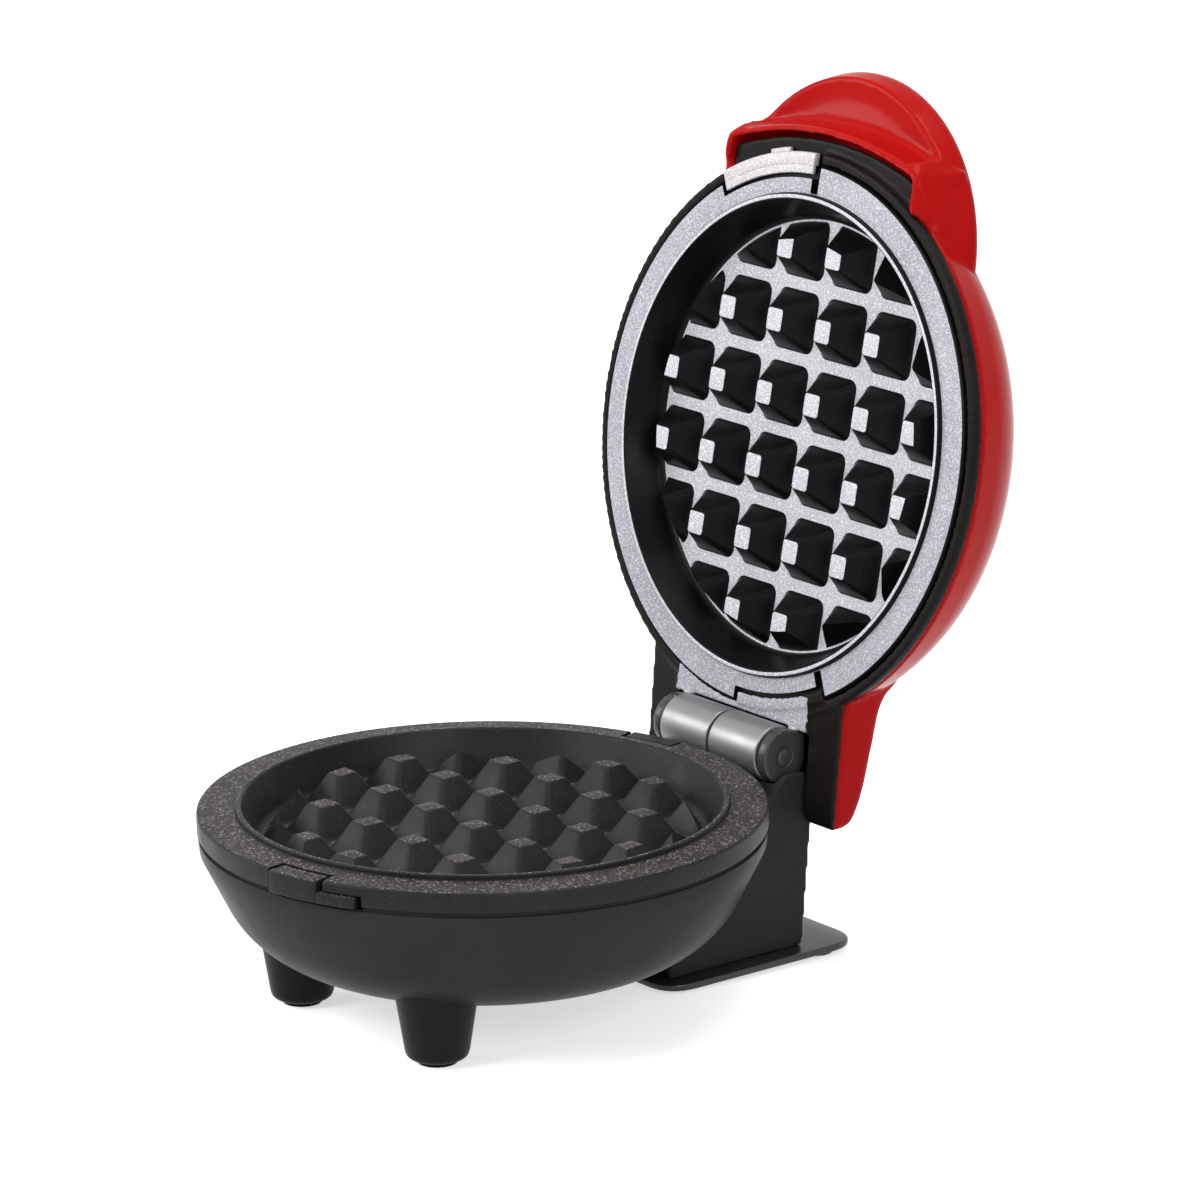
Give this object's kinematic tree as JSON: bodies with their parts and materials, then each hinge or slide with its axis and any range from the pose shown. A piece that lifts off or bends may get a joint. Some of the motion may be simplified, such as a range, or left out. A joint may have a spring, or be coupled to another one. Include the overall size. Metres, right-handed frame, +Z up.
{
  "type": "waffle maker",
  "caption": "Small round waffle maker standing open, with a hinged domed lid, peg-patterned cooking plates, a moulded handle and low feet.",
  "frame": {"origin": "centre of the outer box's underside, on the table, with the lid raised", "axes": "+Z up from the table, -Y towards the front where the handle closes, +X to the right seen from the front"},
  "size_m": [0.1244, 0.1756, 0.1893],
  "materials": {
    "housing_grey": "satin moulded dark grey",
    "leg_black": "satin moulded black",
    "foot_pad": "matt soft pad",
    "shell_red": "glossy deep red",
    "liner_black": "smooth black",
    "plate_dark": "dark non-stick coating on cast aluminium",
    "plate_bright": "speckled pale grey non-stick coating on cast aluminium",
    "barrel_grey": "satin grey",
    "steel": "plain",
    "heater_sheath": "dull heat-stained sheath",
    "tray_sheet": "bright pressed sheet",
    "switch_body": "dull moulded",
    "fuse_sleeve": "woven glass sleeve",
    "terminal_white": "plain",
    "gland_rubber": "matt",
    "lens_clear": "clear red moulding",
    "lamp_glass": "clear"
  },
  "bodies": {
    "base": {"base_bowl": "housing_grey", "cord_gland": "gland_rubber", "foot_screws": "steel", "front_leg_left": "leg_black", "front_leg_right": "leg_black", "front_pad_left": "foot_pad", "front_pad_right": "foot_pad", "hinge_barrel_left": "barrel_grey", "hinge_barrel_right": "barrel_grey", "hinge_pin_left": "steel", "hinge_pin_right": "steel", "hinge_tower": "housing_grey", "lower_heater": "heater_sheath", "lower_plate": "plate_dark", "lower_thermal_fuse": "fuse_sleeve", "lower_thermostat": "switch_body", "lower_tray": "tray_sheet", "lower_tray_screws": "steel", "rear_foot": "housing_grey", "rear_pad_left": "foot_pad", "rear_pad_right": "foot_pad", "terminal_block": "terminal_white"},
    "lid": {"indicator_lamp": "lamp_glass", "indicator_lens": "lens_clear", "lid_liner": "liner_black", "lid_shell": "shell_red", "upper_heater": "heater_sheath", "upper_plate": "plate_bright", "upper_thermal_fuse": "fuse_sleeve", "upper_thermostat": "switch_body", "upper_tray": "tray_sheet", "upper_tray_screws": "steel"},
    "lower_catch": {"lower_catch": "housing_grey"},
    "upper_catch": {"upper_catch": "plate_bright"}
  },
  "joints": [
    {"name": "lid_hinge", "type": "hinge", "parent": "base", "child": "lid", "pos_m": [0, 0.04166, 0.0459], "axis": [1, 0, 0], "range_deg": [0, 101]},
    {"name": "lower_catch_slide", "type": "slide", "parent": "base", "child": "lower_catch", "axis": [0.3049, -0.9524, 0], "range_m": [0, 0.0022], "stiffness_N_per_m": 300},
    {"name": "upper_catch_slide", "type": "slide", "parent": "lid", "child": "upper_catch", "axis": [-0.2765, 0.1834, 0.9434], "range_m": [0, 0.0022], "stiffness_N_per_m": 300}
  ]
}
